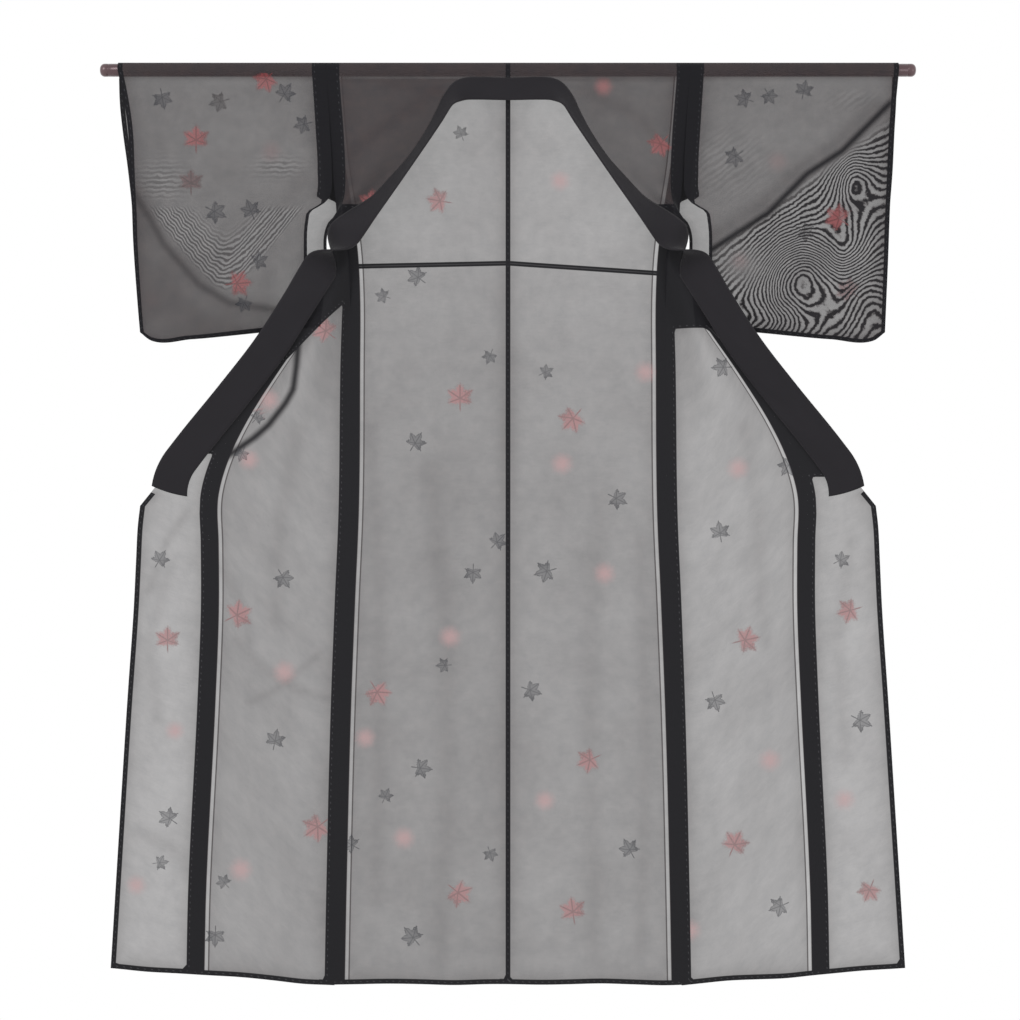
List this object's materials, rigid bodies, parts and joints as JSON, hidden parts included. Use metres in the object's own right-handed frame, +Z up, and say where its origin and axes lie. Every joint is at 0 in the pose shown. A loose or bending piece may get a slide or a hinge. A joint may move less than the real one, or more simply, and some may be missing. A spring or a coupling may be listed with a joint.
{
  "type": "unlined kimono on a rod",
  "caption": "Sheer unlined kimono hung on a straight rod through both sleeves, with its fronts drawn out to the sides and the collar running round the neck and down each front.",
  "frame": {"origin": "middle of the rod that holds the kimono, on the rod's axis", "axes": "+Z up, +X to the right as seen from the front, along the rod, and +Y to the back, away from the viewer"},
  "size_m": [1.382, 0.0866, 1.5634],
  "materials": {
    "gauze": "sheer silk gauze, slight sheen",
    "doubled_gauze": "doubled silk gauze, matt",
    "rod_lacquer": "glossy plum brown"
  },
  "bodies": {
    "root": {"rod": "rod_lacquer", "body_right": "gauze", "body_left": "gauze", "okumi_right": "gauze", "okumi_left": "gauze", "sleeve_right": "gauze", "sleeve_left": "gauze", "collar": "doubled_gauze"}
  },
  "joints": []
}
